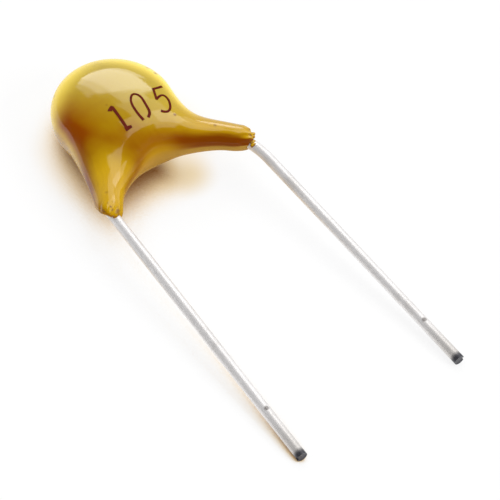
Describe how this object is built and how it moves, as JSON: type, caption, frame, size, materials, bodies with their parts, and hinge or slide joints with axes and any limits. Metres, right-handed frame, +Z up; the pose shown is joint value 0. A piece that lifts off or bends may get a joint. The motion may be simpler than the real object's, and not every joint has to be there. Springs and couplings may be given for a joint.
{
  "type": "radial ceramic capacitor",
  "caption": "Dipped radial-lead ceramic capacitor: a rounded ochre epoxy bead with flared legs and straight tinned wire leads, lying flat.",
  "frame": {"origin": "below the middle of the whole part, on the surface that it lies on", "axes": "+X across the leads from the left one to the right one, +Y from the lead tips to the crown of the bead, +Z up from the surface"},
  "size_m": [0.0092, 0.023, 0.0033],
  "materials": {
    "coating": "glossy dipped epoxy, ochre",
    "chip": "fired ceramic, tan",
    "termination": "fired silver with tin plate",
    "solder": "solder, satin",
    "lead_wire": "tinned wire, bright"
  },
  "bodies": {
    "root": {"epoxy_coating": "coating", "ceramic_chip": "chip", "left_termination": "termination", "right_termination": "termination", "left_solder": "solder", "right_solder": "solder", "left_lead": "lead_wire", "right_lead": "lead_wire"}
  },
  "joints": []
}
